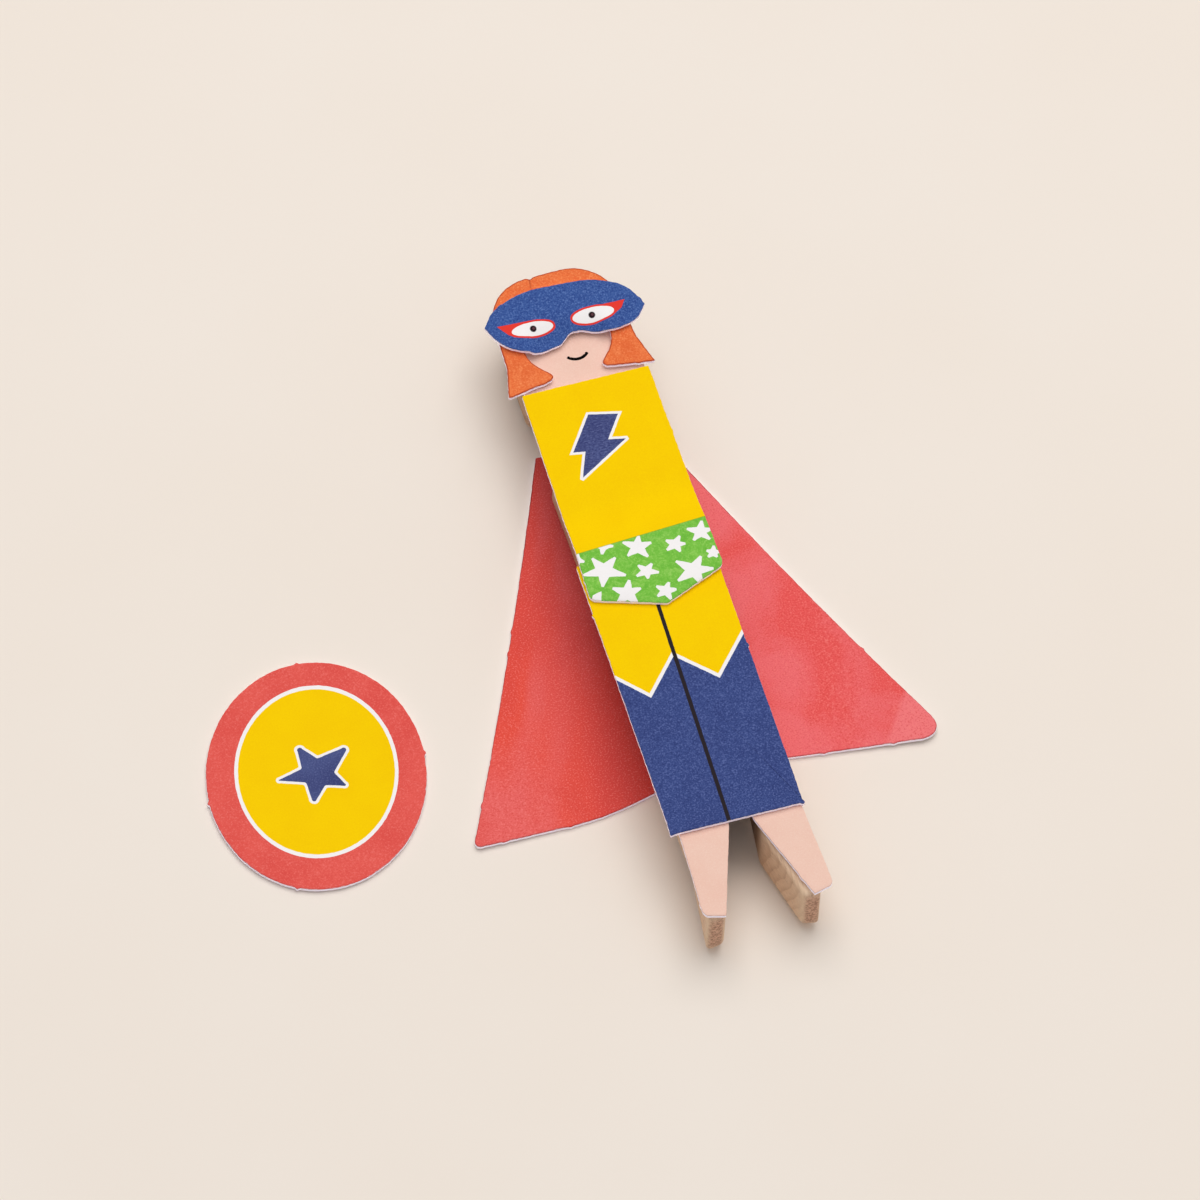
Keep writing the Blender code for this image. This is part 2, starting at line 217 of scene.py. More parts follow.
def handStar(spot, tips, waist=0.34, soft=0.24):
    # five kites from the middle to the tips, joined by the pentagon between the notches; each notch lies between
    # two tips, this share of their mean reach from the middle
    tips = np.array(tips, float)
    arms = tips - tips.mean(axis=0)
    reach = np.linalg.norm(arms, axis=1)[:, None]
    way = arms / reach + np.roll(arms / reach, -1, axis=0)
    way /= np.linalg.norm(way, axis=1)[:, None]
    notches = tips.mean(axis=0) + way * waist * (reach + np.roll(reach, -1, axis=0)) / 2
    middle = notches.mean(axis=0)
    kites = [convexShape(spot, [middle, notches[i - 1], tip, notches[i]])
             for i, tip in enumerate(tips - arms / reach * soft)]
    return merged("MINIMUM", [convexShape(spot, notches)] + kites) - soft


def roundStar(x, y, middle, arms, blend):
    # strokes from the middle to each tip, narrowing from the first half width to the second, softly joined
    strokes = []
    px, py = x - middle[0], y - middle[1]
    for (tipX, tipY), thick, thin in arms:
        dx, dy = tipX - middle[0], tipY - middle[1]
        reach = float(np.hypot(dx, dy))
        dx, dy = dx * (1 - thin / reach), dy * (1 - thin / reach)
        along = (px * dx + py * dy).maths("DIVIDE", dx * dx + dy * dy, clamp=True)
        ax, ay = px - along * dx, py - along * dy
        strokes.append(ax.hypot(ay) + along * (thick - thin) - thick)
    return merged("SMOOTH_MIN", strokes, blend)


def lineSide(x, y, start, end):
    # distance to the line through two points, positive to the right of the way between them
    (ax, ay), (bx, by) = start, end
    run = math.hypot(bx - ax, by - ay)
    return x * ((by - ay) / run) - y * ((bx - ax) / run) - (ax * (by - ay) - ay * (bx - ax)) / run


def discShape(x, y, centre, radius):
    return (x - centre[0]).hypot(y - centre[1]) - radius


def ovalShape(x, y, centre, halves, tilt):
    # nearly the distance to an ellipse: k (k - 1) / m, with k the length of p / halves and m that of p / halves^2
    lean = math.radians(tilt)
    px, py = x - centre[0], y - centre[1]
    across = (px * math.cos(lean) + py * math.sin(lean)) / halves[0]
    up = (py * math.cos(lean) - px * math.sin(lean)) / halves[1]
    k = across.hypot(up)
    m = (across / halves[0]).hypot(up / halves[1])
    return (k + 0.02) * (k - 1) / (m + 0.01)


# card stock: the print, the pulpy core and the scuffs along the cut

coreLook = {
    "colour": rgb(251, 246, 248), "fibre": rgb(236, 227, 235), "roughness": 0.85, "through": 0.6, "depth": 0.0005,
    "spread": (1.0, 0.95, 0.95), "glow": (0.135, 0.1, 0.17, 1.0), "rim": 0.13
}
printLook = {
    "tooth": 4.2, "cloud": 0.22, "scuff": rgb(226, 214, 222), "roughness": 0.55, "specular": 0.02, "bump": 0.05
}


def cardCore():
    material, shader, ink = newMaterial("card_core")
    place = placeOn(ink)
    fibre = place.noise(1.6, 4.0, (1.0, 1.0, 5.0)).between(0.42, 0.68)
    colour = (fibre * 0.6).mix(coreLook["colour"], coreLook["fibre"])
    # painted light: the cut edges glow faintly lilac through emission, standing in for light scattered in the white
    # pulp, so they read paler than the lamps make them
    glow = (edgeOf(ink) - coreLook["rim"]).inside().mix((0.0, 0.0, 0.0, 1.0), coreLook["glow"])
    wire(shader, Base_Color=colour, Roughness=coreLook["roughness"], Normal=fibre.bump(0.3, 0.04),
         Emission_Color=glow, Emission_Strength=1.0, Subsurface_Weight=coreLook["through"],
         Subsurface_Scale=coreLook["depth"], Subsurface_Radius=coreLook["spread"])
    return material


def specked(place, colour, light, dark, speck):
    # fine specks where the ink lies thick or thin on uncoated stock
    grain = place.noise(printLook["tooth"], 3.0)
    colour = colour.over(grain.between(0.47, 0.31) * speck, dark)
    return colour.over(grain.between(0.53, 0.69) * speck, light)


def wash(place, base, light, dark, speck=0.5, depth=0.5):
    # soft clouds towards the dark tone under the specks
    cloud = place.noise(printLook["cloud"], 3.0).between(0.35, 0.72)
    return specked(place, (cloud * depth).mix(base, dark), light, dark, speck)


def printedCard(name, paint, roughness=printLook["roughness"]):
    material, shader, ink = newMaterial(name)
    place = placeOn(ink)
    colour = paint(place)
    wear = (place.noise(1.9, 3.0) - 0.55) * 0.34  # how far the scuffs reach in from the edge
    scuff = (edgeOf(ink) + wear).inside(0.12) * place.noise(0.35).between(0.42, 0.66)
    colour = colour.over(scuff * 0.8, printLook["scuff"])
    tooth = place.noise(printLook["tooth"], 3.0)
    shine = (tooth - 0.5) * 0.2 + roughness
    wire(shader, Base_Color=colour, Roughness=shine, Normal=tooth.bump(printLook["bump"], 0.2),
         Specular_IOR_Level=printLook["specular"])
    return material


# outlines and surfaces

def cornerPath(corners, step):
    # closed path through corners (x, y, radius, edge radius): arcs tangent to their sides, cut to fit, and
    # straight runs between them in steps of this length. Also the place of each corner's middle in the path.
    table = np.array([(*corner, 0.0, 0.0)[:4] for corner in corners], float)
    spots, radius, rim = table[:, :2], table[:, 2], table[:, 3]
    back, ahead = np.roll(spots, 1, axis=0) - spots, np.roll(spots, -1, axis=0) - spots
    backRun, aheadRun = np.linalg.norm(back, axis=1), np.linalg.norm(ahead, axis=1)
    back, ahead = back / backRun[:, None], ahead / aheadRun[:, None]
    bend = np.pi - np.arccos(np.clip((back * ahead).sum(1), -1, 1))
    reach = np.minimum(radius * np.tan(bend / 2), 0.49 * np.minimum(backRun, aheadRun))
    outer = back[:, 0] * ahead[:, 1] - back[:, 1] * ahead[:, 0] > 0
    arcs = []
    for k in range(len(spots)):  # one arc for each corner
        if reach[k] < 1e-4:
            arcs.append(np.array([[*spots[k], rim[k]]]))
            continue
        start = spots[k] + back[k] * reach[k]
        middle = (back[k] + ahead[k]) / np.linalg.norm(back[k] + ahead[k])
        hub = spots[k] + middle * reach[k] / math.sin(bend[k] / 2)
        spoke = np.linalg.norm(start - hub)
        sweep = -bend[k] if outer[k] else bend[k]
        count = max(3, 2 * math.ceil(bend[k] * max(spoke, 0.8) / step / 2) + 1)
        angles = math.atan2(*(start - hub)[::-1]) + np.linspace(0, sweep, count)
        soft = min(rim[k], 0.8 * spoke) if outer[k] else rim[k]
        arcs.append(np.stack([hub[0] + spoke * np.cos(angles), hub[1] + spoke * np.sin(angles),
                              np.full(count, soft)], axis=1))
    path, middles, done = [], [], 0
    for arc, follower in zip(arcs, arcs[1:] + arcs[:1]):
        run = follower[0] - arc[-1]
        count = max(1, round(np.linalg.norm(run[:2]) / step))
        straight = arc[-1] + run * (np.arange(1, count) / count)[:, None]
        middles.append(done + len(arc) // 2)
        path += [arc, straight]
        done += len(arc) + len(straight)
    return np.concatenate(path), middles


def mirrored(right):
    return right + [(-x, *rest) for x, *rest in reversed(right)]


def turnedTo(points, origin, turn):
    # points turned by some degrees about zero, then moved to an origin
    angle = math.radians(turn)
    spin = np.array([[math.cos(angle), math.sin(angle)], [-math.sin(angle), math.cos(angle)]])
    return points @ spin + np.array(origin)


def inwardOf(outline):
    # mitred normals of a closed counterclockwise outline, pointing into the shape
    ahead = np.roll(outline, -1, axis=0) - outline
    ahead /= np.linalg.norm(ahead, axis=1)[:, None]
    left = np.stack([-ahead[:, 1], ahead[:, 0]], axis=1)
    before = np.roll(left, 1, axis=0)
    return (left + before) / (1 + (left * before).sum(1))[:, None]


def dieCut(outline, look):
    # a cut edge: a slow waver of a few hundredths, and a torn nib wherever the card hung in its sheet
    run = np.cumsum(np.linalg.norm(np.roll(outline, -1, axis=0) - outline, axis=1))
    phase = np.random.default_rng(look["seed"]).uniform(0, 2 * np.pi, 4)
    waves = np.round(run[-1] / np.array([9.0, 4.1, 1.9, 1.1]))
    out = 0.012 * np.sin(2 * np.pi * run[:, None] / run[-1] * waves + phase).sum(1)
    for x, y, height in look["nibs"]:
        away = np.hypot(outline[:, 0] - x, outline[:, 1] - y)
        out = out + height * np.exp(-((away - away.min()) / 0.2) ** 2)
    return outline - inwardOf(outline) * out[:, None]


# profile of a card's rim, from its underside to its print: distance in from the outline and share of the thickness
cardRim = {"inset": np.array([0.10, 0.03, 0.0, 0.0, 0.0, 0.03, 0.10]),
           "level": np.array([0.0, 0.05, 0.17, 0.5, 0.83, 0.95, 1.0])}
farIn = 3.0  # kept as the distance from the edge on points well inside a card


def ramp(value, over):
    # from 0 up to 1 over this length, and flat beyond
    return np.clip(value / over, 0, 1)


def eased(share):
    return share * share * (3 - 2 * share)


def bandFaces(first, second):
    # quads between two closed rows of vertex numbers, seen from outside with the second row above
    return np.stack([first, np.roll(first, -1), np.roll(second, -1), second], axis=1)


def addObject(name, data):
    made = bpy.data.objects.new(name, data)
    bpy.context.scene.collection.objects.link(made)
    return made


def buildPiece(name, points, faces, printed, edge, materials):
    # faces is a list of index arrays, printed says for each array whether the print shows on it
    mesh = bpy.data.meshes.new(name)
    mesh.from_pydata((points * mm).tolist(), [], [face for block in faces for face in block.tolist()])
    slots = np.concatenate([np.full(len(block), 0 if shown else len(materials) - 1)
                            for block, shown in zip(faces, printed)])
    mesh.polygons.foreach_set("material_index", slots.astype(np.int32))
    mesh.polygons.foreach_set("use_smooth", np.ones(len(slots), bool))
    if edge is not None:
        mesh.attributes.new("edge", "FLOAT", "POINT").data.foreach_set("value", edge.astype(np.float32))
    for material in materials:
        mesh.materials.append(material)
    mesh.update()
    mesh.validate()
    print(f"  {name}: {len(points)} points, {len(slots)} faces")
    return addObject(name, mesh)


def edgeDistance(points, outline):
    away = points[:, None, :] - outline[None, :, :]
    return np.sqrt((away ** 2).sum(2).min(1))


def roundCard(name, look, outline, centre, lift, materials):
    # rings of the outline shrunk towards a centre, over and under, joined by the rim's profile:
    # point = centre + (outline + inward * inset - centre) * share, height = floor + thick * level + lift(x, y)
    inward = inwardOf(outline)
    wide = np.linalg.norm(outline - centre, axis=1).mean()
    shares = np.concatenate([[1 - 0.28 / wide, 1 - 0.8 / wide], np.linspace(1 - 1.8 / wide, 0.07, look["rings"])])
    inset = np.concatenate([np.full(len(shares), 0.10), cardRim["inset"], np.full(len(shares), 0.10)])
    share = np.concatenate([shares[::-1], np.ones(len(cardRim["inset"])), shares])
    level = np.concatenate([np.zeros(len(shares)), cardRim["level"], np.ones(len(shares))])
    flat = centre + (outline + inward * inset[:, None, None] - centre) * share[:, None, None]
    count = len(outline)
    flat = np.concatenate([flat.reshape(-1, 2), [centre, centre]])
    height = np.concatenate([np.repeat(level, count), [0.0, 1.0]]) * look["thick"] + look["floor"]
    points = np.column_stack([flat, height + lift(flat[:, 0], flat[:, 1])])
    rows = np.arange(len(share) * count).reshape(-1, count)
    faces = [bandFaces(low, high) for low, high in zip(rows, rows[1:])]
    printed = [k >= len(shares) + 4 for k in range(len(faces))]
    poles = len(share) * count
    faces.append(np.stack([np.roll(rows[0], -1), rows[0], np.full(count, poles)], axis=1))
    faces.append(np.stack([rows[-1], np.roll(rows[-1], -1), np.full(count, poles + 1)], axis=1))
    edge = np.concatenate([np.repeat(inset, count), [farIn, farIn]])
    inner = np.concatenate([np.repeat(share, count) < 1, [True, True]])
    edge[inner] = edgeDistance(flat[inner], outline)
    return buildPiece(name, points, faces, printed + [False, True], edge, materials)


def gridCard(name, look, grid, lift, materials):
    # a card spread on a grid of points (along, across), over and under, with the rim's profile round its edge
    along, across = grid.shape[:2]
    i = np.concatenate([np.arange(along), np.full(across - 1, along - 1), np.arange(along - 2, -1, -1),
                        np.zeros(across - 2, int)])
    j = np.concatenate([np.zeros(along, int), np.arange(1, across), np.full(along - 1, across - 1),
                        np.arange(across - 2, 0, -1)])
    outline = dieCut(grid[i, j], look)
    inward = inwardOf(outline)
    rim = outline + inward * cardRim["inset"][:, None, None]
    count, rows = len(outline), np.arange(rim.shape[0] * len(outline)).reshape(-1, len(outline))
    middle = grid[1:-1, 1:-1].reshape(-1, 2)
    flat = np.concatenate([rim.reshape(-1, 2), middle, middle])
    level = np.concatenate([np.repeat(cardRim["level"], count), np.zeros(len(middle)), np.ones(len(middle))])
    points = np.column_stack([flat, look["floor"] + look["thick"] * level + lift(flat[:, 0], flat[:, 1])])
    faces, printed = [], []
    for first, row, top in ((rows.size, rows[0], False), (rows.size + len(middle), rows[-1], True)):
        number = np.zeros((along, across), int)
        number[1:-1, 1:-1] = first + np.arange(len(middle)).reshape(along - 2, across - 2)
        number[i, j] = row
        quads = np.stack([number[:-1, :-1], number[1:, :-1], number[1:, 1:], number[:-1, 1:]], axis=2).reshape(-1, 4)
        faces.append(quads if top else quads[:, ::-1])
        printed.append(top)
    faces += [bandFaces(low, high) for low, high in zip(rows, rows[1:])]
    printed += [k >= 4 for k in range(len(rows) - 1)]
    edge = np.concatenate([np.repeat(cardRim["inset"], count), edgeDistance(flat[rows.size:], outline)])
    return buildPiece(name, points, faces, printed, edge, materials)


def flatPiece(name, outline, inset, height, printed, materials, edge=None):
    # a rim profile carried along an outline: row k lies inset[k] inside it at height[k], with flat ends
    inward = inwardOf(outline)
    flat = outline + inward * inset[..., None]
    rows = np.arange(len(inset) * len(outline)).reshape(-1, len(outline))
    points = np.column_stack([flat.reshape(-1, 2), np.broadcast_to(height, flat.shape[:2]).ravel()])
    faces = [rows[:1, ::-1], rows[-1:]] + [bandFaces(low, high) for low, high in zip(rows, rows[1:])]
    return buildPiece(name, points, faces, [False, True] + printed, edge, materials)


core = cardCore()

# the wooden peg

pegLook = {
    "top": 56.0, "foot": -54.0, "half": 8.2, "thick": 9.0, "floor": 1.0, "edge": 1.6, "prongsHalf": 7.4, "feet": 8.7,
    "footWidth": 2.7, "footRound": 0.6, "head": 8.1, "crown": 8.0, "jaw": 37.2, "jawRound": 5.2, "neck": 4.9,
    "shoulder": 26.3, "fillet": 1.5, "shoulderRound": 3.0, "slotTop": 7.0, "slotHalf": 4.0,
    "slotRims": (0.95, 0.8, 0.4, 0.4), "throat": -42.1, "throatHalf": 3.1, "throatLength": 7.5, "throatRound": 11.9,
    "mouthRound": 1.3, "step": 0.5, "rimSteps": 7, "ringHub": (-21.0, -13.0), "ringLean": (0.9, 0.44),
    "ringWaver": 1.6, "ringWidth": 0.55, "paleEnd": (-30.0, -8.0), "slotShadeHalf": 4.5, "slotShadeStart": (-43.5, -36.5),
    "slotShadeTop": 7.4, "footMiddle": 7.35, "heartHalf": (0.95, 3.6), "heartLevel": 5.6, "pale": rgb(243, 212, 183),
    "mid": rgb(230, 195, 164), "late": rgb(200, 158, 124), "pore": rgb(158, 120, 92), "end": rgb(222, 178, 152),
    "endDark": rgb(160, 116, 96), "rim": rgb(238, 211, 182), "deep": rgb(78, 50, 34), "shadeBrown": rgb(160, 118, 86)
}


def pegWood():
    # growth rings about a leaning axis beside the peg, long fibres and short pores; sawn ends are redder and open
    p = pegLook
    material, shader, ink = newMaterial("peg_wood")
    place = placeOn(ink)
    x, y, z = place.split()
    waver = place.noise(0.11, 2.0, (1.0, 0.35, 1.0)) - 0.5
    beside = x - p["ringHub"][0]
    above = z * p["ringLean"][0] + y * p["ringLean"][1] - p["ringHub"][1]
    far = beside.hypot(above) + waver * p["ringWaver"]
    ring = (far / p["ringWidth"]).maths("FRACT")
    late = ring.between(0.45, 0.9) * (1 - ring.between(0.92, 1.0))
    fibre = place.noise(1.0, 4.0, (3.2, 0.14, 3.2)).between(0.3, 0.72)
    pores = place.noise(1.0, 2.0, (6.0, 0.5, 4.5)).between(0.60, 0.70)
    foot, crown = y - p["foot"], p["top"] - y
    ends = (foot - 0.35).inside(0.4).maths("MAXIMUM", (crown - 1.3).inside(2.6))
    pit = place.noise(3.4, 5.0, (1.0, 0.1, 1.0)).between(0.42, 0.62)
    colour = fibre.mix(p["mid"], p["pale"])
    colour = colour.over(late * 0.45, p["late"])
    colour = colour.over(pores * 0.35, p["pore"])
    colour = colour.over((foot - 1.6).inside(1.8) * 0.6, p["rim"])
    # partly painted shade: towards the head the wood is made browner, partly for the neck's cut grain, partly for the
    # shade that lay on the neck and sides
    colour = colour.over(y.between(*p["paleEnd"]) * (pit * 0.3 + 0.45), p["shadeBrown"])  # pale only near the tips
    # painted shade: the slot's walls are darkened near the hem, where the cards above keep light out
    slotShade = (abs(x) - p["slotShadeHalf"]).inside(0.5) * y.between(*p["slotShadeStart"]) * (y - p["slotShadeTop"]).inside(0.8)
    colour = colour.over(slotShade * 0.8, p["deep"])
    # the sawn ends are darkest inside, away from their worn rims
    heart = (abs(abs(x) - p["footMiddle"]) - p["heartHalf"][0]).inside(0.6)
    heart = heart * (abs(z - p["heartLevel"]) - p["heartHalf"][1]).inside(1.2)
    colour = colour.over(ends * (heart * 0.7 + 0.25), p["end"])
    colour = colour.over(ends * pit * (heart * 0.55 + 0.3), p["endDark"])
    height = fibre * 0.35 - pores * 0.8 - ends * pit
    wire(shader, Base_Color=colour, Roughness=fibre * -0.1 + 0.75, Normal=height.bump(0.5, 0.08),
         Specular_IOR_Level=0.2)
    return material


def bodyCorners(side, end):
    # right half of the head, neck and shoulders, this far outside the wood at the sides and at the ends
    p = pegLook
    jaw, shoulder = p["jaw"] - end, p["shoulder"] + end
    return [(p["head"] + side, p["top"] + end, p["crown"] + end), (p["head"] + side, jaw, p["jawRound"] + end),
            (p["neck"] + side, jaw, p["fillet"]), (p["neck"] + side, shoulder, p["fillet"]),
            (p["half"] + side, shoulder, p["shoulderRound"] + end)]


def makePeg():
    p = pegLook
    outer = bodyCorners(0.0, 0.0) + [(p["prongsHalf"], p["throat"], p["throatRound"]),
                                     (p["feet"], p["foot"], p["footRound"])]
    slot = [(p["feet"] - p["footWidth"], p["foot"], p["mouthRound"]), (p["throatHalf"], p["throat"], p["throatHalf"]),
            (p["slotHalf"], p["throat"] + p["throatLength"], p["throatLength"]),
            (p["slotHalf"], p["slotTop"], p["slotHalf"])]
    right = [(*corner, p["edge"]) for corner in outer] + [(*corner, rim) for corner, rim in zip(slot, p["slotRims"])]
    path, _ = cornerPath(mirrored(right), p["step"])
    path = path[::-1]
    turns = np.linspace(0, np.pi / 2, p["rimSteps"])
    turns = np.concatenate([turns[::-1], turns])
    inset = path[:, 2] * (1 - np.cos(turns))[:, None]
    height = path[:, 2] * (1 - np.sin(turns))[:, None]
    height[p["rimSteps"]:] = p["thick"] - height[p["rimSteps"]:]
    shown = [True] * (len(turns) - 1)
    peg = flatPiece("pegBar", path[:, :2], inset, height + p["floor"], shown, [pegWood()])
    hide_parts("peg")
    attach(peg, "doll")


makePeg()
print("peg done")

# the pink figure card

figureLook = {
    "side": 1.2, "end": 0.4, "shift": 0.6, "floor": 10.3, "thick": 0.7, "hem": -39.8, "spread": 0.6, "footWidth": 3.2,
    "slant": 0.8, "corner": 1.1, "gapHalf": 1.85, "gapRise": 8.4, "step": 0.45, "skin": rgb(240, 202, 186),
    "flush": rgb(235, 190, 173), "light": rgb(246, 217, 204), "mouth": rgb(6, 4, 5), "smile": (0.82, 44.0),
    "smileRadius": 2.02, "smileHalf": 0.245, "ends": ((-0.55, 42.52), (2.22, 42.56)), "inner": 0.35,
    "nibs": ((7.0, -51.0, 0.12), (-9.6, -51.5, 0.1)), "seed": 3
}


def skinPrint(place):
    look = figureLook
    x, y, _ = place.split()
    colour = wash(place, look["skin"], look["light"], look["flush"], 0.35, 0.45)
    ring = abs(discShape(x, y, look["smile"], look["smileRadius"])) - look["smileHalf"]
    smile = ring.maths("MAXIMUM", y - look["ends"][0][1])
    ends = [discShape(x, y, end, look["smileHalf"]) for end in look["ends"]]
    return colour.over(merged("MINIMUM", [smile] + ends).inside(), look["mouth"])


def makeFigure():
    f = figureLook
    side, foot = pegLook["half"] + f["side"], pegLook["foot"] - f["end"]
    feet, hem = side + f["spread"], f["hem"]
    legs = [(side, hem, 0.0), (feet, foot + f["slant"], f["corner"]), (feet - f["footWidth"], foot, 0.0),
            (f["gapHalf"], hem, 0.0), (f["gapHalf"], hem + f["gapRise"], f["gapHalf"])]
    path, _ = cornerPath(mirrored(bodyCorners(f["side"], f["end"]) + legs), f["step"])
    outline = dieCut(path[::-1, :2] + np.array([f["shift"], 0.0]), f)
    inset = np.concatenate([[f["inner"]], cardRim["inset"], [f["inner"]]])
    level = np.concatenate([[0.0], cardRim["level"], [1.0]])
    edge = np.repeat(np.where(inset == f["inner"], farIn, inset), len(outline))
    shown = [k >= 5 for k in range(len(inset) - 1)]
    figure = flatPiece("figureCard", outline, np.repeat(inset[:, None], len(outline), axis=1),
                       (f["floor"] + f["thick"] * level)[:, None], shown,
                       [printedCard("skin_print", skinPrint), core], edge)
    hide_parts("figure_card")
    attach(figure, "doll")


makeFigure()
print("figure card done")

# yellow trousers and blue boots

inks = {
    "yellow": rgb(250, 207, 0), "yellowLight": rgb(253, 212, 0), "yellowDark": rgb(246, 198, 0),
    "navy": rgb(62, 78, 135), "navyLight": rgb(92, 107, 164), "navyDark": rgb(48, 60, 114),
    "white": rgb(246, 243, 244), "black": rgb(44, 38, 42)
}
trousersLook = {
    "half": 10.2, "top": 7.6, "length": 47.2, "floor": 11.3, "thick": 0.7, "step": 0.3,
    "zigzag": ((-10.15, -12.12), (-6.15, -16.36), (-0.89, -10.47), (4.58, -15.86), (10.37, -9.43)), "bandHalf": 0.27,
    "leg": ((-0.5, -1.88), (-1.25, -39.64)), "legHalf": 0.3, "settle": (0.2, 6.0),
    "nibs": ((-10.2, -1.1, 0.22), (10.2, -12.0, 0.2), (10.2, -39.7, 0.3), (-10.1, -39.6, 0.16)), "rings": 26,
    "seed": 5
}


def yellowInk(place):
    return wash(place, inks["yellow"], inks["yellowLight"], inks["yellowDark"], 0.5, 0.5)


def navyInk(place):
    return wash(place, inks["navy"], inks["navyLight"], inks["navyDark"], 0.95, 0.35)


def trousersPrint(place):
    # boots below a zigzag: its height is a straight line plus one bend for each inner corner
    t = trousersLook
    x, y, _ = place.split()
    corners = np.array(t["zigzag"])
    slopes = np.diff(corners[:, 1]) / np.diff(corners[:, 0])
    line = x * ((slopes[0] + slopes[-1]) / 2)
    base = (slopes[0] + slopes[-1]) / 2 * corners[0, 0]
    for spot, change in zip(corners[1:-1, 0].tolist(), np.diff(slopes).tolist()):
        line = line + abs(x - spot) * (change / 2)
        base += abs(corners[0, 0] - spot) * change / 2
    away = (y - line + (base - corners[0, 1])) / math.hypot(1, np.abs(slopes).mean())
    leg = abs(lineSide(x, y, *t["leg"])) - t["legHalf"]
    ragged = (place.noise(1.3) - 0.5) * 0.1
    colour = yellowInk(place).over((away - t["bandHalf"] + ragged).inside(), inks["white"])
    colour = colour.over((away + t["bandHalf"] + ragged).inside(), navyInk(place))
    return colour.over((leg + ragged).inside(), inks["black"])


def makeTrousers():
    t = trousersLook
    half, foot = t["half"], t["top"] - t["length"]
    path, _ = cornerPath(mirrored([(half, t["top"], 0.25), (half, foot, 0.25)]), t["step"])
    outline = dieCut(path[::-1, :2], t)

    def hemLift(x, y):  # the hem settles onto the legs
        depth, over = t["settle"]
        return -depth * ramp(foot + over - y, over) ** 2

    trousers = roundCard("trousersCard", t, outline, np.array([0.0, t["top"] - t["length"] / 2]), hemLift,
                         [printedCard("trousers_print", trousersPrint), core])
    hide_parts("trousers_card")
    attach(trousers, "doll")


makeTrousers()
print("trousers done")

# yellow top with its bolt, and green star briefs, on one card

torsoLook = {
    "origin": (0.45, 37.6), "turn": -0.2, "half": 9.78, "waist": (10.1, -28.0), "hip": (10.35, -36.5),
    "hipSlant": 0.5, "hipRound": 1.2, "point": (0.5, -40.0), "pointRound": 1.0, "middle": (0.0, -19.0), "floor": 11.3,
    "thick": 0.7, "step": 0.3, "nibs": ((-9.9, 4.4, 0.15), (10.2, 26.0, 0.14)), "rise": 1.0, "stepLow": 8.8,
    "stepHigh": 16.8, "settle": (0.24, 2.5), "hem": (0.95, -2.4), "hemSlope": 1 / 3,
    "border": ((-9.96, 9.03), (10.22, 10.12)), "borderHalf": 0.05, "outline": 0.4,
    "bolt": ((-0.85, 31.9), (3.45, 30.85), (0.75, 27.05), (3.3, 26.5), (-4.8, 21.75), (-3.1, 25.95), (-4.85, 26.3)),
    "boltInk": rgb(78, 88, 138), "boltLight": rgb(116, 124, 172), "boltDark": rgb(54, 60, 110),
    "green": rgb(126, 197, 74), "greenLight": rgb(158, 212, 104), "greenDark": rgb(100, 178, 58),
    "greenLine": rgb(122, 158, 30),
    "stars": (((-7.74, 7.75), (-4.38, 6.97), (-3.8, 3.66), (-7.68, 2.68), (-9.83, 5.33)),
        ((-2.63, 9.13), (0.0, 9.6), (1.47, 7.92), (0.29, 5.75), (-2.59, 6.68)),
        ((5.83, 7.94), (6.25, 6.4), (5.13, 5.27), (3.25, 6.08), (3.64, 7.74)),
        ((9.71, 9.49), (10.71, 7.74), (9.93, 6.1), (7.55, 6.6), (7.16, 8.74)),
        ((10.16, 4.94), (10.83, 3.72), (10.08, 2.9), (8.78, 3.27), (8.88, 4.41)),
        ((7.81, 3.73), (8.99, 1.27), (6.67, -0.86), (3.3, 0.65), (4.01, 3.92)),
        ((0.48, 4.5), (1.04, 2.78), (-0.81, 2.17), (-2.31, 3.06), (-1.56, 4.79)),
        ((-3.57, 2.74), (-2.29, 0.93), (-3.42, -1.53), (-6.52, -0.57), (-6.33, 2.04)),
        ((1.96, 0.78), (2.73, -0.62), (1.45, -2.0), (-0.36, -1.0), (-0.03, 0.64)),
        ((-9.5, 9.1), (-9.0, 7.5), (-9.9, 7.2), (-11.0, 7.6), (-10.6, 8.8)),
        ((-5.6, 10.6), (-4.1, 8.9), (-5.0, 8.7), (-6.15, 8.0), (-6.6, 9.6))),
    "cutStar": ((-9.5, 1.75), (-8.05, 2.05), (-8.6, 0.2), (-10.2, 0.3)), "rings": 40, "seed": 7
}


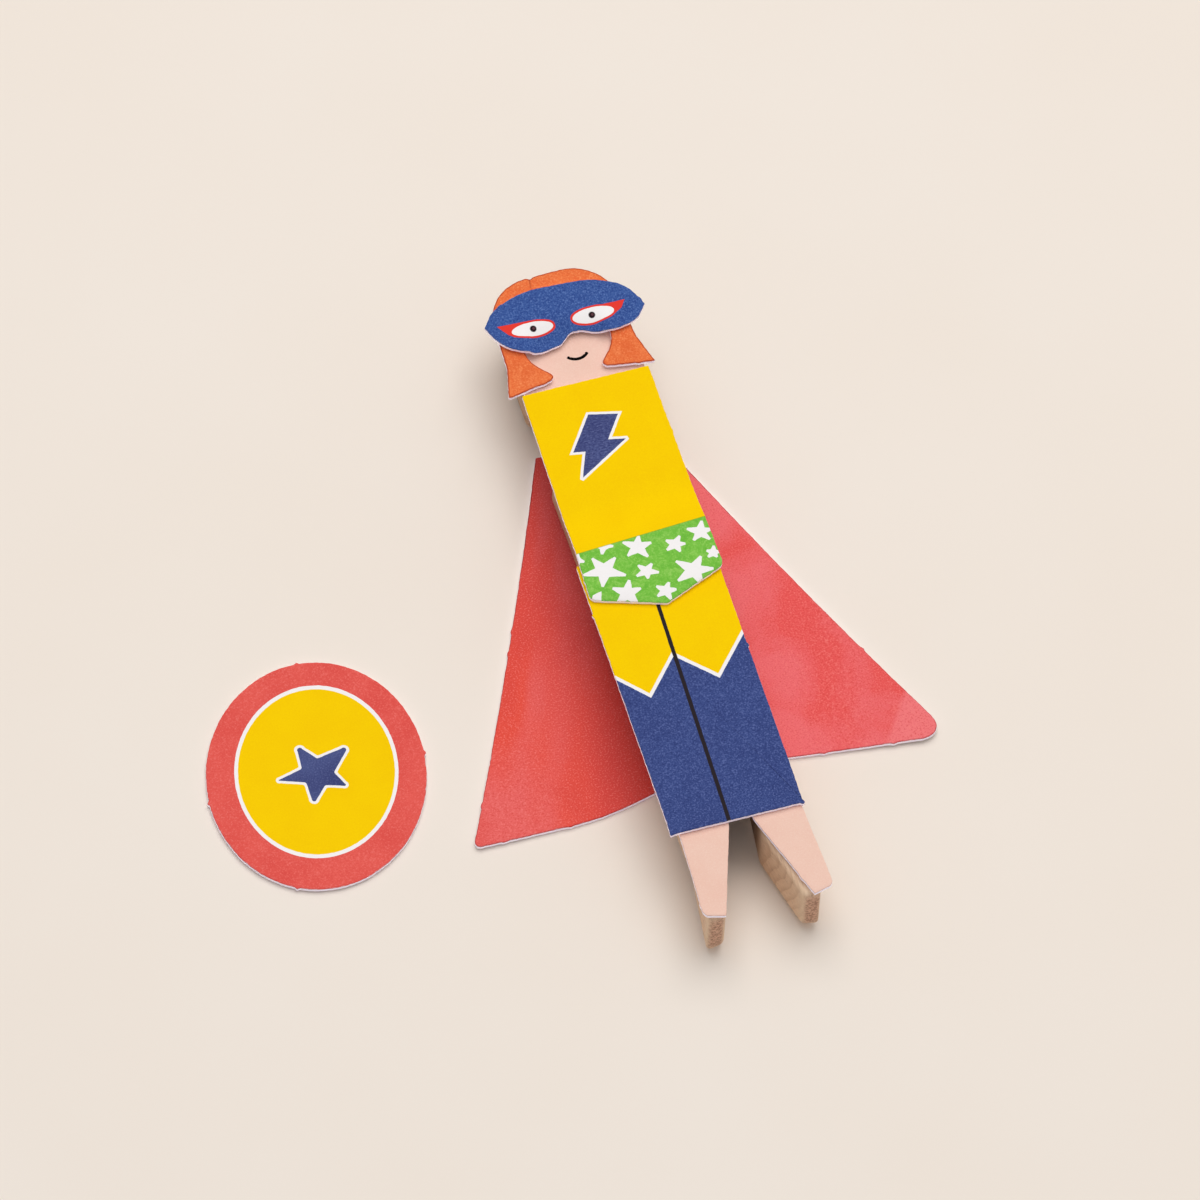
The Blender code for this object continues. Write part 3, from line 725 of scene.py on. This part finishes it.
def torsoPrint(place):
    t = torsoLook
    x, y, _ = place.split()
    ragged = (place.noise(1.1) - 0.5) * 0.12
    a, b, c, d, e, f, g = np.array(t["bolt"])
    pastC, pastF = c + (c - d) * 0.2, f + (f - e) * 0.2  # the lower half runs on under the upper one
    spot = flatSpot(place)
    bolt = convexShape(spot, [a, b, c, f, g]).maths("MINIMUM", convexShape(spot, [pastC, d, e, pastF]))
    brushed = place.noise(1.0, 3.0, (2.2, 4.4, 1.0))
    boltInk = wash(place, t["boltInk"], t["boltLight"], t["boltDark"], 0.35, 0.6)
    boltInk = boltInk.over(brushed.between(0.52, 0.36) * 0.8, t["boltDark"])
    boltInk = boltInk.over(brushed.between(0.54, 0.72) * 0.35, t["boltLight"])
    colour = yellowInk(place).over((bolt + ragged - t["outline"]).inside(), inks["white"])
    colour = colour.over((bolt + ragged).inside(), boltInk)
    swirl = place.noise(0.55, 3.0, twist=2.2)
    green = wash(place, t["green"], t["greenLight"], t["greenDark"], 0.6, 0.5)
    green = green.over(swirl.between(0.52, 0.7) * 0.6, t["greenLight"])
    green = green.over(swirl.between(0.47, 0.3) * 0.6, t["greenDark"])
    stars = merged("MINIMUM", [convexShape(spot, t["cutStar"])] + [handStar(spot, tips) for tips in t["stars"]])
    briefs = green.over((stars + ragged * 1.2).inside(), inks["white"])
    border = -1.0 * lineSide(x, y, *t["border"])
    colour = colour.over(border.inside(), briefs)
    return colour.over((abs(border) - t["borderHalf"]).inside(0.1) * 0.7, t["greenLine"])


def makeTorso():
    t = torsoLook
    right = [(t["half"], 0, 0.2), (*t["waist"], 0.0), (t["hip"][0], t["hip"][1] + t["hipSlant"], t["hipRound"])]
    left = [(-t["hip"][0], t["hip"][1], t["hipRound"]), (-t["waist"][0], t["waist"][1], 0.0), (-t["half"], 0, 0.2)]
    path, _ = cornerPath(right + [(*t["point"], t["pointRound"])] + left, t["step"])
    outline = dieCut(turnedTo(path[::-1, :2], t["origin"], t["turn"]), t)

    def stepLift(x, y):  # it lies on the trousers, bends down to the figure card above them, and its hem settles
        hem = t["hem"][1] + np.abs(x - t["hem"][0]) * t["hemSlope"]
        depth, over = t["settle"]
        risen = t["rise"] * eased(ramp(t["stepHigh"] - y, t["stepHigh"] - t["stepLow"]))
        return risen - depth * ramp(hem + over - y, over) ** 2

    centre = turnedTo(np.array(t["middle"]), t["origin"], t["turn"])
    torso = roundCard("torsoCard", t, outline, centre, stepLift, [printedCard("torso_print", torsoPrint), core])
    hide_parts("torso_card")
    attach(torso, "doll")


makeTorso()
print("torso done")

# orange bob

hairLook = {
    "origin": (-0.3, 56.75), "turn": 1.0, "half": 9.4, "crown": 8.0, "cheek": 13.8, "cheekHalf": 10.0,
    "flareHalf": 11.4, "end": 19.0, "tipHalf": 3.2, "tip": 17.5, "tipRound": 0.7, "endRound": 0.15, "curve": 5.0,
    "faceHalf": 6.6, "fringe": 6.8, "fringeRound": 3.2, "floor": 11.3, "thick": 0.7, "step": 0.1, "along": 340,
    "across": 14, "parting": (-2.3, 57.4), "lineWidth": 0.2, "notch": (-2.0, 0.35, 0.3), "lift": 0.22,
    "liftStart": (5.0, 43.5), "liftOver": 6.0, "nibs": ((-5.5, 38.3, 0.12), (9.0, 38.0, 0.12)),
    "orange": rgb(236, 121, 68), "light": rgb(246, 150, 96), "dark": rgb(221, 97, 52), "line": rgb(170, 62, 34),
    "seed": 11
}


def hairPrint(place):
    # fine strokes that run out from the parting, and a thin dark line along the cut
    h = hairLook
    x, y, _ = place.split()
    px, py = x - h["parting"][0], h["parting"][1] - y
    angle = px.maths("ARCTAN2", py + 1.5)
    reach = px.hypot(py)
    spread = place.node("ShaderNodeCombineXYZ", None, {0: angle * 16.0, 1: reach * 0.35, 2: 0.0})
    stroke = spread.noise(1.0, 3.0)
    colour = wash(place, h["orange"], h["light"], h["dark"], 0.75, 0.5)
    colour = colour.over(stroke.between(0.55, 0.72) * 0.3, h["light"])
    colour = colour.over(stroke.between(0.46, 0.30) * 0.35, h["dark"])
    parting = (abs(px + py * 0.12) - 0.12).inside(0.16) * reach.between(5.2, 1.0)
    colour = colour.over(parting * 0.7, h["line"])
    return colour.over((edgeOf(place) - h["lineWidth"]).inside(0.1) * 0.75, h["line"])


def evenly(path, count):
    # the path again, at equal steps of its own length
    run = np.concatenate([[0], np.cumsum(np.linalg.norm(np.diff(path, axis=0), axis=1))])
    wanted = np.linspace(0, run[-1], count)
    return np.stack([np.interp(wanted, run, path[:, k]) for k in (0, 1)], axis=1)


def makeHair():
    # a band from one flared end over the crown to the other, spread between its outer and inner edge
    h = hairLook
    right = [(h["half"], 0, h["crown"]), (h["cheekHalf"], -h["cheek"], h["curve"]),
             (h["flareHalf"], -h["end"], h["endRound"]), (h["tipHalf"], -h["tip"], h["tipRound"]),
             (h["faceHalf"], -h["cheek"], h["curve"]), (h["faceHalf"], -h["fringe"], h["fringeRound"])]
    path, middles = cornerPath(mirrored(right), h["step"])
    path = path[:, :2].copy()
    notchAt, notchHalf, notchDeep = h["notch"]  # a small dip in the crown, at the parting
    dip = notchDeep * np.exp(-((path[:, 0] - notchAt) / notchHalf) ** 2)
    path[:, 1] -= np.where(path[:, 1] > -h["fringe"] / 2, dip, 0)
    rightEnd, rightTip, leftTip, leftEnd = (middles[k] for k in (2, 3, 8, 9))
    outer = evenly(np.concatenate([path[leftEnd:], path[:rightEnd + 1]]), h["along"])
    inner = evenly(path[rightTip:leftTip + 1][::-1], h["along"])
    share = np.linspace(0, 1, h["across"])[None, :, None]
    grid = outer[:, None] * (1 - share) + inner[:, None] * share
    grid[-1] = evenly(path[rightEnd:rightTip + 1], h["across"])
    grid[0] = evenly(path[leftTip:leftEnd + 1][::-1], h["across"])
    grid = turnedTo(grid[:, ::-1], h["origin"], h["turn"])

    def tipLift(x, y):  # the flared ends lift off the shoulders by a hair
        low, out = ramp(h["liftStart"][1] - y, h["liftOver"]), ramp(np.abs(x) - h["liftStart"][0], h["liftOver"])
        return h["lift"] * low ** 2 * out

    hair = gridCard("hairCard", h, grid, tipLift, [printedCard("hair_print", hairPrint), core])
    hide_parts("hair_card")
    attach(hair, "doll")


makeHair()
print("hair done")

# blue mask with its eyes

maskLook = {
    "origin": (0.6, 48.95), "turn": -3.0, "floor": 12.3, "thick": 0.7, "step": 0.22, "crown": (5.2, 5.0),
    "temple": (10.2, 2.8), "tip": 12.1, "leftDrop": 1.1, "cheek": (10.4, -3.4), "leftLobe": 4.5, "rightLobe": 5.7,
    "lobeHalf": 6.1, "lobeEnd": (-1.6, -4.7), "nose": (1.1, -3.0), "noseHalf": 0.9, "noseRound": 1.8, "curve": 12.0,
    "blue": rgb(62, 92, 158), "light": rgb(94, 123, 184), "dark": rgb(44, 66, 132), "red": rgb(230, 62, 52),
    "pupil": rgb(40, 24, 30), "glint": rgb(96, 62, 68),
    "eyes": ({"centre": (-4.62, 47.68), "halves": (3.16, 1.1), "tilt": -2.6, "pupil": (-4.51, 47.69),
        "wing": ((-9.64, 49.34), (-4.6, 49.08), (-5.5, 46.9), (-7.6, 46.95), (-8.4, 47.6))},
        {"centre": (4.76, 47.62), "halves": (3.18, 1.16), "tilt": -1.1, "pupil": (4.54, 47.61),
        "wing": ((9.95, 48.77), (9.12, 47.59), (7.8, 46.81), (5.8, 46.6), (5.5, 48.9))}),
    "outline": 0.3, "pupilRadius": 0.5, "glintRadius": 0.2, "glintShift": (0.08, 0.05), "middle": (0.6, 49.4),
    "spring": 0.12, "springStart": 8.0, "springOver": 4.0, "press": 0.85, "pressHalf": 6.5, "pressOver": 2.4,
    "pressTop": 49.0, "pressLength": 4.5, "nibs": ((12.6, 48.4, 0.12), (-5.6, 43.3, 0.15), (-8.0, 52.6, 0.1)),
    "rings": 16, "seed": 13
}


def maskPrint(place):
    m = maskLook
    x, y, _ = place.split()
    ragged = (place.noise(1.4) - 0.5) * 0.08
    colour = wash(place, m["blue"], m["light"], m["dark"], 0.95, 0.35)
    spot = flatSpot(place)
    for eye in m["eyes"]:
        white = ovalShape(x, y, eye["centre"], eye["halves"], eye["tilt"]) + ragged
        pupil = discShape(x, y, eye["pupil"], m["pupilRadius"])
        glint = discShape(x, y, np.add(eye["pupil"], m["glintShift"]).tolist(), m["glintRadius"])
        rim = (white - m["outline"]).maths("MINIMUM", convexShape(spot, eye["wing"], 10.0) + ragged)
        colour = colour.over(rim.inside(), m["red"]).over(white.inside(), inks["white"])
        colour = colour.over(pupil.inside(0.12), m["pupil"]).over(glint.inside(0.1), m["glint"])
    return colour


def makeMask():
    m = maskLook
    left, right = ([(side * m["crown"][0], m["crown"][1], m["curve"]),
                    (side * m["temple"][0], m["temple"][1], m["curve"]), (side * m["tip"], -drop, 0.3),
                    (side * m["cheek"][0], m["cheek"][1], m["curve"]), (side * m["lobeHalf"], -lobe, m["curve"])]
                   for side, drop, lobe in ((1, m["leftDrop"], m["leftLobe"]), (-1, 0.0, m["rightLobe"])))
    noseX, noseY = m["nose"]
    nose = [(noseX + m["noseHalf"], noseY, m["noseRound"]), (noseX - m["noseHalf"], noseY, m["noseRound"]),
            (*m["lobeEnd"], m["noseRound"])]
    path, _ = cornerPath(left + nose + right[::-1], m["step"])
    outline = dieCut(turnedTo(path[::-1, :2], m["origin"], m["turn"]), m)

    def bow(x, y):  # the ends spring up a little past the hair, and the middle is pressed down onto the face
        face, low = ramp(m["pressHalf"] - np.abs(x), m["pressOver"]), ramp(m["pressTop"] - y, m["pressLength"])
        sprung = ramp(np.abs(x - m["middle"][0]) - m["springStart"], m["springOver"])
        return m["spring"] * sprung ** 2 - m["press"] * eased(face) * eased(low)

    mask = roundCard("maskCard", m, outline, np.array(m["middle"]), bow, [printedCard("mask_print", maskPrint), core])
    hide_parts("mask_card")
    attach(mask, "doll")


makeMask()
print("mask done")

# red cape, one card that stands in for the cape and the strip stuck to the peg; its wings lift a little off the table

capeLook = {
    "origin": (0.7, 20.0), "turn": -0.65, "top": 13.0, "topHalf": 9.0, "length": 61.5, "wingHalf": 36.7, "bow": 0.6,
    "hem": ((-0.6, 0.0), (-0.53, 0.07), (-0.46, 0.29), (-0.4, 0.65), (-0.33, 1.22), (0.0, 4.3), (1.0, 0.0)),
    "corners": (1.4, 4.6), "floor": 0.0, "thick": 0.7, "along": 150, "across": 120, "rowPower": 0.93, "crowd": 1.25,
    "hemPower": 6, "foldStart": 21.6, "foldEnd": 17.0, "neck": (0.4, 47.0), "wingLift": (0.25, 0.55),
    "liftStart": (9.0, 26.0), "liftOver": (27.0, 50.0), "red": rgb(231, 84, 70), "deep": rgb(216, 72, 64),
    "pink": rgb(233, 105, 103), "rose": rgb(237, 112, 117), "light": rgb(243, 134, 128), "flush": rgb(231, 88, 86),
    "pale": rgb(241, 127, 131), "near": rgb(196, 68, 74), "line": rgb(176, 52, 52), "lineWidth": 0.12,
    "bodyShadeFade": (-22.0, -11.0), "split": 7.0, "patch": ((31.89, -20.9), (28.16, -26.32)),
    "nibs": ((-19.9, 5.5, 0.18), (-21.5, 2.0, 0.15), (-33.5, -21.2, 0.15), (-21.6, -28.2, 0.15), (-31.7, -28.1, 0.12),
        (28.8, -11.3, 0.2), (17.9, -26.6, 0.18), (28.3, -27.6, 0.18)),
    "seed": 17
}


def capePrint(place):
    # thin washes of two reds that fan out from the neck, with specks of bare stock
    c = capeLook
    x, y, _ = place.split()
    px, py = x - c["neck"][0], c["neck"][1] - y
    fan = px.maths("ARCTAN2", py)
    reach = px.hypot(py)
    folds = place.node("ShaderNodeCombineXYZ", None, {0: fan * 5.5, 1: reach * 0.02, 2: 0.0}).noise(1.0, 2.0)
    cloud = place.noise(0.07, 4.0, twist=0.6)
    left = (folds.between(0.45, 0.6) * 0.9).mix(c["red"], c["pink"])
    left = left.over(folds.between(0.42, 0.30) * 0.5, c["deep"]).over(cloud.between(0.5, 0.68) * 0.5, c["deep"])
    # painted shade: the left wing is darkened in a band beside the body's left edge, where the body shades it
    left = left.over(x.between(*c["bodyShadeFade"]) * 0.5, c["near"])
    right = (cloud.between(0.42, 0.6) * 0.9).mix(c["rose"], c["flush"])
    right = right.over(lineSide(x, y, *c["patch"]).inside(0.9) * 0.75, c["pale"])  # a paler wash at the tip
    colour = left.over(x.between(-c["split"], c["split"]), right)
    colour = specked(place, colour, c["light"], c["deep"], 0.6)
    # painted shade: a thin darker red line along the cut edge stands in for the shading of its rounded rim
    return colour.over((edgeOf(place) - c["lineWidth"]).inside(0.1) * 0.6, c["line"])


def roundedCorner(grid, reach):
    # the last corner of a grid, rounded over this reach: a square whose outer sides are pressed onto a circle,
    # p' = p sqrt(1 - q^2 / 2) and q' = q sqrt(1 - p^2 / 2)
    corner, along, across = grid[-1, -1], grid[-6, -1] - grid[-1, -1], grid[-1, -6] - grid[-1, -1]
    frame = np.stack([along / np.linalg.norm(along), across / np.linalg.norm(across)])
    share = 1 - (grid - corner) @ np.linalg.inv(frame) / reach
    near = (share > 0).all(axis=2)
    p, q = share[..., 0], share[..., 1]
    pressed = np.stack([p * np.sqrt(np.abs(1 - q * q / 2)), q * np.sqrt(np.abs(1 - p * p / 2))], axis=2)
    return np.where(near[..., None], corner + (1 - pressed) * reach @ frame, grid)


def makeCape():
    # rows down the cape: drop = length * share, less where the hem rises; half width grows evenly with the drop
    # and bows in
    c = capeLook
    share = np.linspace(0, 1, c["along"])[:, None] ** c["rowPower"]
    spread = np.sin(np.linspace(-1, 1, c["across"]) * c["crowd"])[None, :] / math.sin(c["crowd"])
    rise = np.interp(spread, *np.array(c["hem"]).T)
    drop = c["length"] * share - rise * share ** c["hemPower"]
    part = drop / c["length"]
    half = c["topHalf"] + (c["wingHalf"] - c["topHalf"]) * part - c["bow"] * 4 * part * (1 - part)
    grid = np.stack([half * spread, c["top"] - drop], axis=2)
    grid = roundedCorner(grid, c["corners"][1])
    grid = roundedCorner(grid[:, ::-1], c["corners"][0])[:, ::-1]
    grid = turnedTo(grid, c["origin"], c["turn"])

    def wingLift(x, y):  # the right wing stands off the table a little, the left one lies on it
        out, down = (ramp(way, over) for way, over in zip(
            (np.abs(x) - c["liftStart"][0], c["liftStart"][1] - y), c["liftOver"]))
        return np.where(x > 0, c["wingLift"][1], c["wingLift"][0]) * out ** 2 * down

    cape = gridCard("capeCard", c, grid, wingLift, [printedCard("cape_print", capePrint), core])
    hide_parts("cape_yoke", "cape")
    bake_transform(cape)


makeCape()
print("cape done")

# loose oval shield

shieldLook = {
    "centre": (-55.165, -9.9), "turn": -18.2, "halfWidth": 16.25, "halfLength": 19.25, "floor": 0.0, "thick": 0.7,
    "points": 480, "dish": 0.18, "ring": (11.55, 14.0), "ringShift": (0.0, 0.7), "ringWidth": 0.6, "outline": 0.42,
    "starMiddle": (0.1, 0.55), "starBlend": 0.3,
    "arms": (((-2.75, 4.65), 2.15, 0.42), ((4.2, 4.9), 2.3, 0.4), ((4.35, -1.35), 2.2, 0.2),
        ((-0.25, -4.3), 2.15, 0.36), ((-5.5, -0.95), 1.8, 0.08)),
    "red": rgb(230, 94, 86), "light": rgb(243, 132, 124), "deep": rgb(218, 76, 70),
    "nibs": ((-52.44, 9.07, 0.28), (-38.56, -10.46, 0.28), (-71.78, -10.06, 0.28), (-63.37, -27.32, 0.28)),
    "roughness": 0.5, "rings": 22, "seed": 19
}


def shieldPrint(place):
    s = shieldLook
    own = placeOn(place, s["centre"], s["turn"])
    x, y, _ = own.split()
    px, py = (x - s["ringShift"][0]) / s["ring"][0], (y - s["ringShift"][1]) / s["ring"][1]
    oval = (px.hypot(py) - 1) * ((s["ring"][0] + s["ring"][1]) / 2)
    star = roundStar(x, y, s["starMiddle"], s["arms"], s["starBlend"])
    ragged = (place.noise(1.1) - 0.5) * 0.12
    t = torsoLook
    starInk = wash(place, t["boltInk"], t["boltLight"], t["boltDark"], 0.4, 0.7)
    colour = wash(place, s["red"], s["light"], s["deep"], 0.5, 0.6)
    colour = colour.over((oval + ragged - s["ringWidth"]).inside(), inks["white"])
    colour = colour.over((oval + ragged).inside(), yellowInk(place))
    colour = colour.over((star + ragged - s["outline"]).inside(), inks["white"])
    return colour.over((star + ragged).inside(), starInk)


def makeShield():
    s = shieldLook
    turns = np.linspace(0, 2 * np.pi, s["points"], endpoint=False)
    oval = np.stack([s["halfWidth"] * np.cos(turns), s["halfLength"] * np.sin(turns)], axis=1)
    outline = dieCut(turnedTo(oval, s["centre"], s["turn"]), s)

    def dish(x, y):  # the rim stands off the table by a hair
        away = np.hypot(x - s["centre"][0], y - s["centre"][1]) / s["halfLength"]
        return s["dish"] * away ** 2

    shield = roundCard("shieldCard", s, outline, np.array(s["centre"]), dish,
                       [printedCard("shield_print", shieldPrint, s["roughness"]), core])
    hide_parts("shield")
    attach(shield, "shield")


makeShield()
print("shield done")

# double-sided tape, hidden between the layers

tapeLook = {"film": rgb(232, 224, 204), "glue": rgb(206, 192, 160), "roughness": 0.4}


def tapeFilm():
    material, shader, ink = newMaterial("tape_film")
    place = placeOn(ink)
    streak = place.noise(1.0, 3.0, (0.6, 0.12, 1.0)).between(0.4, 0.65)
    blot = place.noise(1.7, 2.0).between(0.5, 0.62)
    colour = (streak * 0.7).mix(tapeLook["film"], tapeLook["glue"])
    wire(shader, Base_Color=colour, Roughness=blot * 0.25 + tapeLook["roughness"], Normal=blot.bump(0.2, 0.02))
    return material


film = tapeFilm()
for name, node in frame["nodes"].items():
    if name.endswith("_tape"):
        node.data.materials.clear()
        node.data.materials.append(film)
print("tapes done")

# table, light and camera

# the table and the lamp are in metres; the camera's target and distance are in millimetres
stageLook = {
    "table": rgb(240, 231, 222), "tableShade": rgb(239, 229, 219), "size": 6.0, "gap": 0.00004,
    "sky": (1.0, 0.99, 0.975, 1.0), "skyBase": 0.245, "skyGain": 0.5, "skyWay": (0.15, 0.2, 0.968), "lamp": 16.6,
    "lampSize": 1.4, "lampPlace": (0.25, 0.58, 1.63), "lampColour": (1.0, 0.985, 0.965), "target": (-7.27, 4.57, 6.0),
    "away": 6000.0, "lens": 1221.2, "sensor": 36.0, "clip": (0.05, 20.0), "right": (0.9547, -0.2948, 0.0395),
    "up": (0.2362, 0.8324, 0.5012), "back": (-0.1806, -0.4692, 0.8643)
}


def makeTable():
    # a plain square, a hair below the cards so that the two never share a plane
    s = stageLook
    reach, level = s["size"] / 2, -s["gap"]
    mesh = bpy.data.meshes.new("table")
    mesh.from_pydata([(-reach, -reach, level), (reach, -reach, level), (reach, reach, level),
                      (-reach, reach, level)], [], [(0, 1, 2, 3)])
    table = addObject("table", mesh)
    material, shader, ink = newMaterial("table_top")
    place = placeOn(ink)
    colour = place.noise(0.02, 2.0).between(0.3, 0.7).mix(s["table"], s["tableShade"])
    wire(shader, Base_Color=colour, Roughness=0.9, Specular_IOR_Level=0.1)
    # seen from below the table is clear, so that the back of the doll can be looked at
    below = ink.node("ShaderNodeNewGeometry", out="Backfacing")
    clear = ink.node("ShaderNodeBsdfTransparent")
    solid = Ink(material.node_tree, shader.outputs[0])
    mixed = ink.node("ShaderNodeMixShader", None, {0: below, 1: solid, 2: clear})
    output = material.node_tree.nodes["Material Output"]
    material.node_tree.links.new(output.inputs[0], mixed.socket)
    mesh.materials.append(material)


def makeLights():
    s = stageLook
    world = bpy.data.worlds.new("studio")
    bpy.context.scene.world = world
    world.use_nodes = True
    sky = Ink(world.node_tree)
    path = sky.node("ShaderNodeLightPath")
    seen = path  # is it a camera ray
    for kind in ("Is Glossy Ray", "Is Transmission Ray"):
        seen = seen.maths("MAXIMUM", path.other(kind))
    facing = sky.node("ShaderNodeVectorMath", {"operation": "DOT_PRODUCT"}, {
        0: sky.node("ShaderNodeTexCoord"), 1: s["skyWay"]}, 1)
    level = facing.maths("MAXIMUM", 0.0) * s["skyGain"] + s["skyBase"]  # brightest about overhead
    glow = sky.node("ShaderNodeBackground", None, {0: s["sky"], 1: level})
    plain = sky.node("ShaderNodeBackground", None, {0: s["table"], 1: 1.0})
    both = sky.node("ShaderNodeMixShader", None, {0: seen, 1: glow, 2: plain})
    world.node_tree.links.new(world.node_tree.nodes["World Output"].inputs[0], both.socket)

    lamp = bpy.data.lights.new("window", "AREA")
    lamp.energy, lamp.size, lamp.color = s["lamp"], s["lampSize"], s["lampColour"]
    holder = addObject("window", lamp)
    holder.location = s["lampPlace"]
    holder.rotation_euler = (-Vector(s["lampPlace"])).to_track_quat("-Z", "Y").to_euler()
    holder.visible_camera = False


def makeCamera():
    s = stageLook
    camera = bpy.data.cameras.new("camera")
    camera.lens, camera.sensor_width = s["lens"], s["sensor"]
    camera.clip_start, camera.clip_end = s["clip"]
    eye = addObject("camera", camera)
    axes = np.array([s["right"], s["up"], s["back"]])
    spot = (np.array(s["target"]) + s["away"] * axes[2]) * mm
    eye.matrix_world = Matrix([[*axes[:, k], spot[k]] for k in range(3)] + [[0, 0, 0, 1]])
    bpy.context.scene.camera = eye
    bpy.context.scene.view_settings.view_transform = "Standard"


makeTable()
makeLights()
makeCamera()
bpy.context.view_layer.update()
print("stage done")
